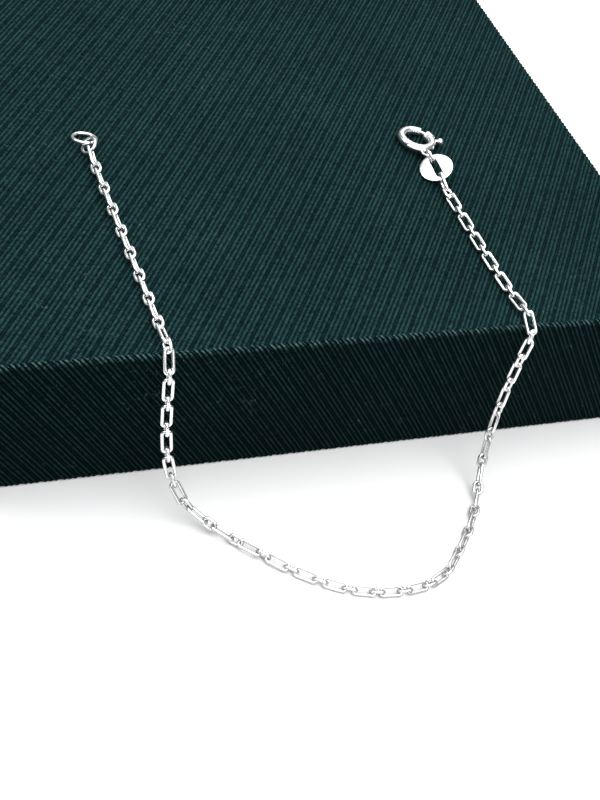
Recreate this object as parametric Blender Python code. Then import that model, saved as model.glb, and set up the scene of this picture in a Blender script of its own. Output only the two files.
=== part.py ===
# A fine silver chain bracelet that lies open on its cloth-covered display box.
# Metres, +Z up. The origin is at table height, below the middle of the whole thing.
import math

import bmesh
import bpy
from mathutils import Matrix, Vector

mm = 0.001

# Display box
box_length = 104 * mm
box_depth = 74 * mm
box_height = 21.9 * mm
box_edge_radius = 0.5 * mm

# Chain links, long and short in turn, each turned a quarter from the last
wire_diameter = 0.43 * mm
long_link_length = 3.32 * mm
short_link_length = 2.12 * mm
link_width = 1.50 * mm
long_corner_radius = 0.62 * mm
long_link_count = 43
wire_sides = 5

# Small rings at the chain's two ends
jump_ring_diameter = 2.56 * mm
end_ring_diameter = 3.55 * mm
end_ring_wire = 0.50 * mm
end_jump_ring_turn = 54
clasp_jump_ring_turn = 56
clasp_jump_ring_drop = 14

# Tag between the chain and the clasp
tag_diameter = 4.7 * mm
tag_thickness = 0.30 * mm
tag_slot_length = 3.4 * mm
tag_slot_width = 1.0 * mm
tag_lean = 30
tag_rise = 4
tag_link_turn = 78

# Spring-ring clasp, with angles about its own axis from its right-hand side
clasp_diameter = 5.5 * mm
clasp_tube_diameter = 1.10 * mm
clasp_bore_diameter = 0.72 * mm
clasp_collar_diameter = 1.36 * mm
clasp_strap_diameter = 0.56 * mm
clasp_eye_diameter = 1.70 * mm
clasp_eye_wire = 0.42 * mm
mouth_start = 24
mouth_end = 52
socket_depth = 8
collar_lap = 2
strap_start = -145
strap_end = -97
strap_offset = 0.44 * mm
mouth_margin = 3

# Latch that slides inside the clasp, with its thumb knob
latch_diameter = 0.52 * mm
latch_travel = 40
latch_tip_overlap = 5
latch_tail = 14
knob_angle = -9
knob_stem_diameter = 0.50 * mm
knob_diameter = 0.96 * mm
knob_reach = 1.53 * mm
slot_side_clearance = 0.08 * mm
slot_end_clearance = 2

# How hard a link is drawn against the next, and the clearances of what hangs loose
link_press = 0.06 * mm
ring_slack = 0.17 * mm
chain_half_gap = 0.24 * mm
resting_gap = 0.03 * mm

# The chain's way over the box, chosen by hand: millimetres across from the box's middle,
# millimetres back from its front face, share of the box's height, and the turn of the
# long links in degrees, where 0 lies flat on what is under or behind them.
chain_route = [
    (-27.40, 34.55, 1.000, -47), (-27.60, 22.0, 1.000, -47), (-27.78, 8.0, 1.000, -47),
    (-27.85, 2.9, 1.000, -40), (-28.00, 0.45, 1.007, -18), (-28.10, -1.15, 0.960, 5),
    (-27.90, -1.75, 0.870, 8), (-27.50, -2.50, 0.720, 8), (-26.90, -3.55, 0.520, 8),
    (-25.95, -4.95, 0.315, 6), (-24.40, -6.76, 0.147, 0), (-23.30, -7.80, 0.093, -20),
    (-21.96, -8.94, 0.058, -42), (-19.18, -11.37, 0.012, -42), (-17.78, -12.63, 0.000, -15),
    (-16.36, -13.92, 0.000, 12), (-13.57, -16.55, 0.000, 35), (-10.45, -19.05, 0.000, 45),
    (-6.40, -21.50, 0.000, 45), (-1.75, -22.95, 0.000, 45), (3.40, -23.25, 0.000, 45),
    (7.67, -22.25, 0.000, 45), (12.03, -18.70, 0.000, 51), (16.05, -14.50, 0.000, 56),
    (18.35, -11.20, 0.014, 64), (19.70, -8.40, 0.058, 76), (20.35, -6.75, 0.145, 79),
    (21.00, -4.75, 0.335, 90), (21.75, -2.95, 0.570, 101), (22.40, -1.75, 0.810, 104),
    (22.66, -1.20, 0.950, 126), (22.68, 0.25, 1.018, 142), (22.55, 4.30, 1.000, 146),
    (22.20, 12.0, 1.000, 142), (22.20, 21.0, 1.000, 142), (22.10, 25.6, 1.000, 90),
    (22.20, 28.5, 1.000, 62), (23.00, 35.0, 1.000, 62),
]
steps_between_points = 24
pinhole_vertices = 8
steepest_lift = 0.5

# Sizes that follow
wire_radius = wire_diameter / 2
loop_reach = -min(row[1] for row in chain_route) * mm + link_width / 2
front_face = (loop_reach - box_depth) / 2
jump_ring_radius = (jump_ring_diameter - wire_diameter) / 2
jump_ring_hole = jump_ring_radius - wire_radius
end_ring_radius = (end_ring_diameter - end_ring_wire) / 2
clasp_radius = (clasp_diameter - clasp_tube_diameter) / 2
clasp_strap_radius = clasp_radius + strap_offset
eye_radius = (clasp_eye_diameter - clasp_eye_wire) / 2
eye_centre = clasp_radius + (clasp_tube_diameter + clasp_eye_diameter) / 2 - clasp_eye_wire / 2
knob_centre = clasp_radius + knob_reach

up = Vector((0, 0, 1))


def clear_scene():
    for thing in list(bpy.data.objects):
        bpy.data.objects.remove(thing, do_unlink=True)


def make_material(name, colour, roughness, metallic):
    material = bpy.data.materials.new(name)
    material.use_nodes = True
    shader = material.node_tree.nodes["Principled BSDF"]
    shader.inputs["Base Color"].default_value = (*colour, 1)
    shader.inputs["Roughness"].default_value = roughness
    shader.inputs["Metallic"].default_value = metallic
    return material


def add_object(name, bm, material=None, smooth=True):
    bmesh.ops.recalc_face_normals(bm, faces=bm.faces)
    mesh = bpy.data.meshes.new(name)
    bm.to_mesh(mesh)
    bm.free()
    thing = bpy.data.objects.new(name, mesh)
    bpy.context.scene.collection.objects.link(thing)
    if material:
        mesh.materials.append(material)
    if smooth:
        mesh.shade_smooth()
        mesh.set_sharp_from_angle(angle=math.radians(40))
    return thing


def make_cutter(thing):
    thing.hide_render = True
    thing.display_type = "WIRE"
    return thing


def add_boolean(thing, cutter, operation):
    modifier = thing.modifiers.new(operation.lower(), "BOOLEAN")
    modifier.operation = operation
    modifier.solver = "EXACT"
    modifier.object = make_cutter(cutter)


# Corner radius of the polygon whose flat sides touch a round wire
def section_radius(radius, sides):
    return radius / math.cos(math.pi / sides)


# Sweeps a wire round a closed flat loop of points, or along an open one with end caps,
# with one of the wire's flat sides towards the loop's inside
def sweep_wire(bm, points, normal, radius, sides, closed=True):
    count = len(points)
    rings = []
    for index, point in enumerate(points):
        before = points[index - 1] if closed or index > 0 else point
        after = points[(index + 1) % count] if closed or index < count - 1 else point
        ahead = (after - point).normalized() if after is not point else (point - before).normalized()
        back = (point - before).normalized() if before is not point else ahead
        along = (back + ahead).normalized()
        mitre = 1 / max(along.dot(ahead), 0.5)
        inward = normal.cross(along).normalized()
        ring = []
        for side in range(sides):
            angle = 2 * math.pi * (side + 0.5) / sides
            offset = inward * (math.cos(angle) * mitre) + normal * math.sin(angle)
            ring.append(bm.verts.new(point + offset * section_radius(radius, sides)))
        rings.append(ring)
    for index in range(count if closed else count - 1):
        first, second = rings[index], rings[(index + 1) % count]
        for side in range(sides):
            other = (side + 1) % sides
            bm.faces.new((first[side], first[other], second[other], second[side]))
    if not closed:
        bm.faces.new(rings[0])
        bm.faces.new(rings[-1])


def arc_points(radius, start, end, segments):
    points = []
    for step in range(segments + 1):
        angle = math.radians(start + (end - start) * step / segments)
        points.append(Vector((radius * math.cos(angle), radius * math.sin(angle), 0)))
    return points


def ring_mesh(radius, tube_radius, segments, sides):
    bm = bmesh.new()
    sweep_wire(bm, arc_points(radius, 0, 360, segments)[:-1], up, tube_radius, sides)
    return bm


def arc_mesh(radius, tube_radius, start, end, segments, sides):
    bm = bmesh.new()
    sweep_wire(bm, arc_points(radius, start, end, segments), up, tube_radius, sides, closed=False)
    return bm


# Smooth way through the route's points, as close-set points with their turn
def trace_route():
    rows = []
    for across, back, share, turn in chain_route:
        place = Vector((across * mm, front_face + back * mm, share * box_height))
        rows.append((place + up * lying_height(turn), turn))
    places = [row[0] for row in rows]
    places = [2 * places[0] - places[1], *places, 2 * places[-1] - places[-2]]
    knots = [0.0]
    for first, second in zip(places, places[1:]):
        knots.append(knots[-1] + math.sqrt((second - first).length))
    path = []
    for index in range(1, len(places) - 2):
        last = index == len(places) - 3
        for step in range(steps_between_points + (1 if last else 0)):
            share = step / steps_between_points
            knot = knots[index] + (knots[index + 1] - knots[index]) * share
            turn = rows[index - 1][1] * (1 - share) + rows[index][1] * share
            place = spline_point(places[index - 1:index + 3], knots[index - 1:index + 3], knot)
            path.append((place, turn))
    return path


# Point of a centripetal spline through four places, blended in three rounds
def spline_point(points, knots, knot):
    for spans in ([(0, 1), (1, 2), (2, 3)], [(0, 2), (1, 3)], [(1, 2)]):
        blended = []
        for index, (start, end) in enumerate(spans):
            share = (knot - knots[start]) / (knots[end] - knots[start])
            blended.append(points[index] * (1 - share) + points[index + 1] * share)
        points = blended
    return points[0]


# Height of the chain's middle over what it lies on, for the turn of its links
def lying_height(turn):
    angle = math.radians(turn)
    lean = max(abs(math.sin(angle)), abs(math.cos(angle)))
    return resting_gap + section_radius(wire_radius, wire_sides) + (link_width / 2 - wire_radius) * lean


# The point on the path at a straight distance from a place, found from a given step on
def next_on_path(path, step, place, distance):
    while step < len(path) - 2 and (path[step + 1][0] - place).length < distance:
        step += 1
    start, turn_start = path[step]
    end, turn_end = path[step + 1]
    low, high = 0.0, 1.0
    for _ in range(30):
        middle = (low + high) / 2
        if ((start + (end - start) * middle) - place).length < distance:
            low = middle
        else:
            high = middle
    return step, start + (end - start) * low, turn_start + (turn_end - turn_start) * low


# Links flat on the box's top, its front and the table all count as turned by nothing
def facing_normal(along, turn):
    steep = abs(along.z)
    outward = Vector((0, -steep, 1 - steep * steep))
    outward = (outward - along * outward.dot(along)).normalized()
    side = along.cross(outward)
    angle = math.radians(turn)
    return outward * math.cos(angle) + side * math.sin(angle)


# Moves the far end of an end link to a given height and keeps the link's length
def lift_end(near, far, height):
    length = (far - near).length
    flat = Vector((far.x - near.x, far.y - near.y, 0)).normalized()
    rise = max(min(height - near.z, steepest_lift * length), -steepest_lift * length)
    return near + flat * math.sqrt(length * length - rise * rise) + up * rise


# Where each link bears on the next: the two ends of every link with its turn
def place_links():
    path = trace_route()
    long_pitch = long_link_length - 2 * wire_diameter + link_press
    short_pitch = short_link_length - 2 * wire_diameter + link_press
    link_count = 2 * long_link_count - 1
    middle_link = link_count // 2
    step = 0
    place, turn = path[0]
    links = []
    for index in range(link_count):
        is_long = index % 2 == 0
        distance = long_pitch if is_long else short_pitch
        if index == middle_link + 1:
            distance -= chain_half_gap
        step, after, turn_after = next_on_path(path, step, place, distance)
        start = place
        if index == middle_link + 1:
            start = place - (after - place).normalized() * chain_half_gap
        turn_here = (turn + turn_after) / 2 + (0 if is_long else 90)
        links.append({"start": start, "end": after, "turn": turn_here, "long": is_long})
        place, turn = after, turn_after
    links[0]["start"] = lift_end(links[0]["end"], links[0]["start"], end_jump_ring_height)
    links[-1]["end"] = lift_end(links[-1]["start"], links[-1]["end"], tag_bar_height)
    links[-1]["turn"] = tag_link_turn
    return links, middle_link


# A long link's centre line: a rectangle with round corners, in its own flat plane
def long_link_points():
    half_length = long_link_length / 2 - wire_radius
    half_width = link_width / 2 - wire_radius
    bend = long_corner_radius - wire_radius
    points = []
    for corner, (sign_x, sign_y) in enumerate(((1, 1), (-1, 1), (-1, -1), (1, -1))):
        for step in (0, 0.5, 1):
            angle = math.radians(90 * (corner + step))
            points.append((sign_x * (half_length - bend) + bend * math.cos(angle),
                           sign_y * (half_width - bend) + bend * math.sin(angle)))
    return points


# A short link's centre line: two straight sides and two half-round ends
def short_link_points():
    bend = link_width / 2 - wire_radius
    straight = short_link_length / 2 - wire_radius - bend
    points = []
    for side in (1, -1):
        for step in range(6):
            angle = math.radians(36 * step - 90)
            points.append((side * (straight + bend * math.cos(angle)), side * bend * math.sin(angle)))
    return points


def add_link(bm, link):
    along = (link["end"] - link["start"]).normalized()
    normal = facing_normal(along, link["turn"])
    width = normal.cross(along)
    centre = (link["start"] + link["end"]) / 2
    outline = long_link_points() if link["long"] else short_link_points()
    points = [centre + along * x + width * y for x, y in outline]
    sweep_wire(bm, points, normal, wire_radius, wire_sides)


# All of one mesh that hangs together with a first vertex
def connected_vertices(first):
    found, waiting = {first}, [first]
    while waiting:
        for edge in waiting.pop().link_edges:
            for vertex in edge.verts:
                if vertex not in found:
                    found.add(vertex)
                    waiting.append(vertex)
    return found


# Fills the pinhole voids that two wires can close between them where they press
def fill_pinholes(bm):
    remaining = set(bm.verts)
    while remaining:
        island = connected_vertices(next(iter(remaining)))
        remaining -= island
        if len(island) <= pinhole_vertices:
            bmesh.ops.delete(bm, geom=list(island), context="VERTS")


# Long and short links don't meet their own kind, so one union fuses half a chain
def make_chain_half(name, links, material):
    long_bm, short_bm = bmesh.new(), bmesh.new()
    for link in links:
        add_link(long_bm if link["long"] else short_bm, link)
    chain = add_object(name, long_bm, material)
    short_links = add_object(name + "_short_links", short_bm)
    add_boolean(chain, short_links, "UNION")
    evaluated = chain.evaluated_get(bpy.context.evaluated_depsgraph_get())
    fused = bpy.data.meshes.new_from_object(evaluated)
    bpy.data.objects.remove(short_links, do_unlink=True)
    chain.modifiers.clear()
    bm = bmesh.new()
    bm.from_mesh(fused)
    fill_pinholes(bm)
    bm.to_mesh(chain.data)
    bm.free()


# Frame at a place whose X axis runs along a direction and whose Z axis is the normal
def frame_at(place, along, normal):
    across = normal.cross(along).normalized()
    rows = Matrix((along.normalized(), across, normal.normalized())).transposed()
    return Matrix.Translation(place) @ rows.to_4x4()


def pitched(along, degrees):
    flat = Vector((along.x, along.y, 0)).normalized()
    angle = math.radians(degrees)
    return flat * math.cos(angle) + up * math.sin(angle)


def make_box(material):
    bm = bmesh.new()
    bmesh.ops.create_cube(bm, size=1)
    bmesh.ops.scale(bm, verts=bm.verts, vec=(box_length, box_depth, box_height))
    box = add_object("display_box", bm, material)
    box.location = (0, front_face + box_depth / 2, box_height / 2)
    bevel = box.modifiers.new("rounded_edges", "BEVEL")
    bevel.width = box_edge_radius
    bevel.segments = 3


def make_left_end(links, material):
    first = links[0]
    outward = pitched(first["start"] - first["end"], 0)
    centre = first["start"] + outward * (jump_ring_hole - ring_slack)
    normal = facing_normal(-outward, end_jump_ring_turn)
    jump_ring = add_object("end_jump_ring", ring_mesh(jump_ring_radius, wire_radius, 16, 8), material)
    jump_ring.matrix_world = frame_at(centre, outward, normal)
    near_wire = centre + outward * (jump_ring_hole - ring_slack - end_ring_wire / 2)
    far_height = box_height + resting_gap + section_radius(end_ring_wire / 2, 8)
    drop = math.asin((near_wire.z - far_height) / (2 * end_ring_radius))
    along = pitched(outward, -math.degrees(drop))
    ring = add_object("end_ring", ring_mesh(end_ring_radius, end_ring_wire / 2, 24, 8), material)
    ring.matrix_world = frame_at(near_wire + along * end_ring_radius, along, up)


def make_tag(links, material):
    last = links[-1]
    along = pitched(last["end"] - last["start"], tag_rise)
    normal = facing_normal(along, -tag_lean)
    centre = last["end"] + along * (tag_slot_length / 2 - ring_slack)
    bm = bmesh.new()
    bmesh.ops.create_cone(bm, cap_ends=True, segments=32, radius1=tag_diameter / 2,
                          radius2=tag_diameter / 2, depth=tag_thickness)
    tag = add_object("tag_disc", bm, material)
    tag.matrix_world = frame_at(centre, along, normal)
    cutter_bm = bmesh.new()
    straight = tag_slot_length / 2 - tag_slot_width / 2
    outline = []
    for side in (1, -1):
        for step in range(9):
            angle = math.radians(-90 + 22.5 * step)
            x = side * (straight + tag_slot_width / 2 * math.cos(angle))
            outline.append((x, side * tag_slot_width / 2 * math.sin(angle)))
    floor = [cutter_bm.verts.new((x, y, -tag_thickness)) for x, y in outline]
    lid = [cutter_bm.verts.new((x, y, tag_thickness)) for x, y in outline]
    cutter_bm.faces.new(floor)
    cutter_bm.faces.new(lid)
    for index in range(len(outline)):
        after = (index + 1) % len(outline)
        cutter_bm.faces.new((floor[index], floor[after], lid[after], lid[index]))
    cutter = add_object("tag_slot", cutter_bm, smooth=False)
    cutter.matrix_world = tag.matrix_world
    add_boolean(tag, cutter, "DIFFERENCE")
    return centre + along * (tag_slot_length / 2), along


def make_clasp_jump_ring(slot_end, along, material):
    direction = pitched(along, -clasp_jump_ring_drop)
    centre = slot_end + direction * (jump_ring_hole - ring_slack)
    normal = facing_normal(direction, clasp_jump_ring_turn)
    jump_ring = add_object("clasp_jump_ring", ring_mesh(jump_ring_radius, wire_radius, 16, 8), material)
    jump_ring.matrix_world = frame_at(centre, direction, normal)
    return centre + direction * (jump_ring_hole - ring_slack)


def make_clasp(bearing, along, ring_material, latch_material):
    tube_radius = clasp_tube_diameter / 2
    eye_reach = eye_centre + eye_radius - clasp_eye_wire / 2
    resting_height = box_height + resting_gap + section_radius(tube_radius, 12)
    dip = math.asin((bearing.z - resting_height) / (eye_reach + clasp_radius))
    direction = pitched(along, -math.degrees(dip))
    centre = bearing + direction * eye_reach
    across = up.cross(direction).normalized()
    normal = direction.cross(across).normalized()
    frame = bpy.data.objects.new("clasp_axis", None)
    bpy.context.scene.collection.objects.link(frame)
    rows = Matrix((-across, direction, normal)).transposed()
    frame.matrix_world = Matrix.Translation(centre) @ rows.to_4x4()
    stem_angle = math.degrees(knob_stem_diameter / 2 / clasp_radius)
    slot_start = knob_angle + stem_angle + slot_end_clearance
    slot_end = knob_angle - latch_travel - stem_angle - slot_end_clearance
    bore_end = knob_angle - latch_tail - latch_travel - slot_end_clearance
    ring = add_object("clasp_ring", arc_mesh(
        clasp_radius, tube_radius, mouth_end, 360 + mouth_start, 30, 12), ring_material)
    collar_radius = clasp_collar_diameter / 2
    collar = add_object("clasp_collar", arc_mesh(
        clasp_radius, collar_radius, slot_start - collar_lap, mouth_start + collar_lap, 4, 12))
    strap = add_object("clasp_strap", arc_mesh(
        clasp_strap_radius, clasp_strap_diameter / 2, strap_start, strap_end, 6, 8))
    eye = add_object("clasp_eye", ring_mesh(eye_radius, clasp_eye_wire / 2, 14, 8))
    eye.location = (0, -eye_centre, 0)
    bore_radius = clasp_bore_diameter / 2
    socket = add_object("clasp_socket", arc_mesh(
        clasp_radius, bore_radius, mouth_end - mouth_margin, mouth_end + socket_depth, 2, 10))
    bore = add_object("clasp_bore", arc_mesh(
        clasp_radius, bore_radius, bore_end, mouth_start + mouth_margin, 9, 10))
    slot = add_object("thumb_slot", slot_mesh(slot_start, slot_end), smooth=False)
    for piece, operation in ((collar, "UNION"), (strap, "UNION"), (eye, "UNION"),
                             (socket, "DIFFERENCE"), (bore, "DIFFERENCE"), (slot, "DIFFERENCE")):
        piece.parent = frame
        add_boolean(ring, piece, operation)
    ring.parent = frame
    make_latch(frame, latch_material)


# The slot that the thumb knob's stem slides in, through the outer wall of the tube
def slot_mesh(start, end):
    bm = bmesh.new()
    half_height = knob_stem_diameter / 2 + slot_side_clearance
    inner, outer = clasp_radius, clasp_radius + clasp_collar_diameter
    steps = 8
    rings = []
    for step in range(steps + 1):
        angle = math.radians(start + (end - start) * step / steps)
        ray = Vector((math.cos(angle), math.sin(angle), 0))
        ring = []
        for radius, height in ((inner, -half_height), (outer, -half_height),
                               (outer, half_height), (inner, half_height)):
            ring.append(bm.verts.new(ray * radius + up * height))
        rings.append(ring)
    for first, second in zip(rings, rings[1:]):
        for side in range(4):
            other = (side + 1) % 4
            bm.faces.new((first[side], first[other], second[other], second[side]))
    bm.faces.new(rings[0])
    bm.faces.new(rings[-1])
    return bm


def make_latch(frame, material):
    start = knob_angle - latch_tail
    end = mouth_end + latch_tip_overlap
    latch = add_object("clasp_latch", arc_mesh(
        clasp_radius, latch_diameter / 2, start, end, 12, 8), material)
    ray = Vector((math.cos(math.radians(knob_angle)), math.sin(math.radians(knob_angle)), 0))
    stem_bm = bmesh.new()
    bmesh.ops.create_cone(stem_bm, cap_ends=True, segments=10, radius1=knob_stem_diameter / 2,
                          radius2=knob_stem_diameter / 2, depth=knob_reach)
    stem = add_object("knob_stem", stem_bm)
    stem_turn = ray.to_track_quat("Z", "Y").to_matrix().to_4x4()
    stem.matrix_local = Matrix.Translation(ray * (clasp_radius + knob_reach / 2)) @ stem_turn
    ball_bm = bmesh.new()
    bmesh.ops.create_icosphere(ball_bm, subdivisions=2, radius=knob_diameter / 2)
    ball = add_object("knob_ball", ball_bm)
    ball.location = ray * knob_centre
    for piece in (stem, ball):
        piece.parent = frame
        add_boolean(latch, piece, "UNION")
    latch.parent = frame


# Heights that the chain's two ends are held at by the rings they hook into
jump_ring_lean = abs(math.sin(math.radians(end_jump_ring_turn)))
box_rest_height = box_height + resting_gap
end_jump_ring_height = box_rest_height + section_radius(wire_radius, 8) + jump_ring_radius * jump_ring_lean
tag_flatness = math.cos(math.radians(tag_lean)) * math.cos(math.radians(tag_rise))
tag_edge_rise = tag_diameter / 2 * math.sqrt(1 - tag_flatness ** 2) + tag_thickness / 2 * tag_flatness
tag_height = box_rest_height + tag_edge_rise
tag_bar_height = tag_height - (tag_slot_length / 2 - ring_slack) * math.sin(math.radians(tag_rise))


def build():
    clear_scene()
    cloth = make_material("box_cloth", (0.013, 0.045, 0.040), 0.85, 0.0)
    silver = make_material("chain_silver", (0.90, 0.90, 0.89), 0.12, 1.0)
    fittings = make_material("fitting_silver", (0.91, 0.91, 0.90), 0.10, 1.0)
    clasp_silver = make_material("clasp_silver", (0.88, 0.88, 0.88), 0.14, 1.0)
    latch_silver = make_material("latch_silver", (0.86, 0.86, 0.87), 0.16, 1.0)
    make_box(cloth)
    links, middle_link = place_links()
    make_chain_half("chain_left", links[:middle_link + 1], silver)
    make_chain_half("chain_right", links[middle_link + 1:], silver)
    make_left_end(links, fittings)
    slot_end, along = make_tag(links, fittings)
    bearing = make_clasp_jump_ring(slot_end, along, fittings)
    make_clasp(bearing, along, clasp_silver, latch_silver)


build()
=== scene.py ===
import math

import bmesh
import bpy
from mathutils import Euler, Matrix, Vector


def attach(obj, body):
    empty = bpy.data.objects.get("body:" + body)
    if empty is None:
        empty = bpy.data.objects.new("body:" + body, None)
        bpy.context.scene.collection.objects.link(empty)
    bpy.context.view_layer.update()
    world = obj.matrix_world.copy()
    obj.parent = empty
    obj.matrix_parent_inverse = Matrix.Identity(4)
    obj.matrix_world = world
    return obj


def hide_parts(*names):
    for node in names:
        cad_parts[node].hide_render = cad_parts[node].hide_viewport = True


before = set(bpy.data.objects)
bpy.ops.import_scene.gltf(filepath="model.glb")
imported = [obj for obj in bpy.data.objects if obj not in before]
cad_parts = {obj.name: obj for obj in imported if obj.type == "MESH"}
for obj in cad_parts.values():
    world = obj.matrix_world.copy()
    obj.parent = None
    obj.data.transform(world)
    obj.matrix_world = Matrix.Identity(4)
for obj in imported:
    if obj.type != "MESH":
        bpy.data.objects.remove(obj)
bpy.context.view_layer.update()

mm = 0.001
tiny = 0.001 * mm  # points nearer to each other than this are one point


# working helpers
def deselectAll():
    if bpy.context.object and bpy.context.object.mode != "OBJECT":
        bpy.ops.object.mode_set(mode="OBJECT")
    bpy.ops.object.select_all(action="DESELECT")


def makeActive(piece):
    deselectAll()
    piece.select_set(True)
    bpy.context.view_layer.objects.active = piece


def startEdit(piece, everything=False):
    makeActive(piece)
    bpy.ops.object.mode_set(mode="EDIT")
    bpy.ops.mesh.select_mode(type="VERT")
    bpy.ops.mesh.select_all(action="SELECT" if everything else "DESELECT")


def pickVerts(test):  # selects the vertices of the mesh in edit mode that pass a test
    mesh = bmesh.from_edit_mesh(bpy.context.object.data)
    for vertex in mesh.verts:
        vertex.select = bool(test(vertex))
    mesh.select_flush_mode()
    mesh.select_flush(True)
    bmesh.update_edit_mesh(bpy.context.object.data)


def endEdit():
    bpy.ops.object.mode_set(mode="OBJECT")


def nameActive(name):
    piece = bpy.context.object
    piece.name = name
    piece.data.name = name
    return piece


def applyPlace(piece):
    makeActive(piece)
    bpy.ops.object.transform_apply(location=True, rotation=True, scale=True)


def applyModifiers(piece):
    makeActive(piece)
    for modifier in list(piece.modifiers):
        bpy.ops.object.modifier_apply(modifier=modifier.name)


def joinPieces(pieces, name):
    deselectAll()
    for piece in pieces:
        piece.select_set(True)
    bpy.context.view_layer.objects.active = pieces[0]
    bpy.ops.object.join()
    bpy.ops.object.transform_apply(location=True, rotation=True, scale=True)
    return nameActive(name)


def copyPiece(piece):
    makeActive(piece)
    bpy.ops.object.duplicate(linked=False)
    return bpy.context.object


def cleanSurface(piece):
    startEdit(piece, everything=True)
    bpy.ops.mesh.remove_doubles(threshold=tiny)
    bpy.ops.mesh.normals_make_consistent(inside=False)
    endEdit()


def roundEdges(piece, width, angle=45):  # rounds the edges that turn by more than the angle
    edges = piece.modifiers.new("edges", "BEVEL")
    edges.width = width
    edges.segments = 3
    edges.limit_method = "ANGLE"
    edges.angle_limit = math.radians(angle)
    applyModifiers(piece)


def combine(piece, other, operation):
    makeActive(piece)
    modifier = piece.modifiers.new("combine", "BOOLEAN")
    modifier.operation = operation
    modifier.solver = "EXACT"
    modifier.object = other
    bpy.ops.object.modifier_apply(modifier=modifier.name)
    bpy.data.objects.remove(other, do_unlink=True)


def turned(degrees):
    return Euler([math.radians(angle) for angle in degrees])


def setPiece(piece, centre, turn):  # centre in millimetres, turn in degrees
    piece.location = Vector(centre) * mm
    piece.rotation_euler = turned(turn)
    applyPlace(piece)


def finishPiece(piece, material, body, replaced, smoothAngle=40):
    makeActive(piece)
    bpy.ops.object.shade_smooth_by_angle(angle=math.radians(smoothAngle))
    piece.data.materials.clear()
    piece.data.materials.append(material)
    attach(piece, body)
    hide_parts(replaced)


# camera, light and floor
cameraSetup = {
    "place": (-0.091145, -0.126854, 0.139624),
    "turn": (43.1404, -17.1306, -21.984),
    "lens": 65.86,
    "sensor": 36.0,
    "nearest": 0.005,
    "farthest": 20,
}


def makeCamera():
    bpy.ops.object.camera_add(location=cameraSetup["place"])
    camera = nameActive("photoCamera")
    camera.rotation_euler = turned(cameraSetup["turn"])
    camera.data.sensor_fit = "VERTICAL"
    camera.data.sensor_height = cameraSetup["sensor"]
    camera.data.lens = cameraSetup["lens"]
    camera.data.clip_start = cameraSetup["nearest"]
    camera.data.clip_end = cameraSetup["farthest"]
    bpy.context.scene.camera = camera


studio = {
    "skyColour": (0.94, 0.97, 1.00),
    "skyStrength": 0.26,
    "floorColour": (0.90, 0.90, 0.90),
    "floorRoughness": 0.55,
    "floorSize": 3.0,
    "viewTransform": "Standard",  # gives the plain white floor and the deep dark cloth
    "lights": {  # metres and watts
        "overheadSoftbox": {
            "place": (0.05, 0.00, 0.80), "aim": (0.0, 0.0, 0.0), "size": (1.30, 1.10), "power": 13.0,
        },
        "backSoftbox": {
            "place": (0.40, 0.75, 0.62), "aim": (0.0, 0.0, 0.0), "size": (1.00, 0.55), "power": 2.6,
        },
        "leftSoftbox": {
            "place": (-0.55, 0.25, 0.50), "aim": (0.0, 0.0, 0.0), "size": (0.30, 0.50), "power": 1.6,
        },
        "frontFill": {
            "place": (0.10, -0.80, 0.60), "aim": (0.0, -0.02, 0.0), "size": (0.60, 0.30), "power": 1.6,
        },
    },
}


def makeStudio():
    world = bpy.data.worlds.new("paleRoom")
    world.use_nodes = True
    background = world.node_tree.nodes["Background"]
    background.inputs["Color"].default_value = (*studio["skyColour"], 1)
    background.inputs["Strength"].default_value = studio["skyStrength"]
    bpy.context.scene.world = world
    bpy.context.scene.view_settings.view_transform = studio["viewTransform"]
    for name, lamp in studio["lights"].items():
        bpy.ops.object.light_add(type="AREA", location=lamp["place"])
        light = nameActive(name)
        light.data.shape = "RECTANGLE"
        light.data.size, light.data.size_y = lamp["size"]
        light.data.energy = lamp["power"]
        towards = Vector(lamp["aim"]) - Vector(lamp["place"])
        light.rotation_euler = towards.to_track_quat("-Z", "Y").to_euler()
    deselectAll()
    bpy.ops.mesh.primitive_plane_add(size=studio["floorSize"])
    floor = nameActive("studioFloor")
    material = bpy.data.materials.new("paleFloor")
    material.use_nodes = True
    shader = material.node_tree.nodes["Principled BSDF"]
    shader.inputs["Base Color"].default_value = (*studio["floorColour"], 1)
    shader.inputs["Roughness"].default_value = studio["floorRoughness"]
    floor.data.materials.append(material)


makeCamera()
makeStudio()
print("camera, lights and floor are in place")


# node helpers
def newGroup(name, inputs, outputs):  # an input without a value is a vector
    group = bpy.data.node_groups.new(name, "ShaderNodeTree")
    for socketName, value in inputs.items():
        socketType = "NodeSocketVector" if value is None else "NodeSocketFloat"
        socket = group.interface.new_socket(name=socketName, in_out="INPUT", socket_type=socketType)
        if value is not None:
            socket.default_value = value
    for socketName in outputs:
        group.interface.new_socket(name=socketName, in_out="OUTPUT", socket_type="NodeSocketFloat")
    return group, group.nodes.new("NodeGroupInput"), group.nodes.new("NodeGroupOutput")


def placeGroup(tree, group, vector, values):
    node = tree.nodes.new("ShaderNodeGroup")
    node.node_tree = group
    tree.links.new(vector, node.inputs["Vector"])
    for name, value in values.items():
        node.inputs[name].default_value = value
    return node


def mathNode(tree, operation, *values, clamp=False):
    node = tree.nodes.new("ShaderNodeMath")
    node.operation = operation
    node.use_clamp = clamp
    for index, value in enumerate(values):
        if isinstance(value, (int, float)):
            node.inputs[index].default_value = value
        else:
            tree.links.new(value, node.inputs[index])
    return node.outputs[0]


def noiseNode(tree, vector, scale, detail, roughness, distortion=0.0):
    node = tree.nodes.new("ShaderNodeTexNoise")
    tree.links.new(vector, node.inputs["Vector"])
    if isinstance(scale, (int, float)):
        node.inputs["Scale"].default_value = scale
    else:
        tree.links.new(scale, node.inputs["Scale"])
    node.inputs["Detail"].default_value = detail
    node.inputs["Roughness"].default_value = roughness
    node.inputs["Distortion"].default_value = distortion
    return node.outputs["Fac"]


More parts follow.
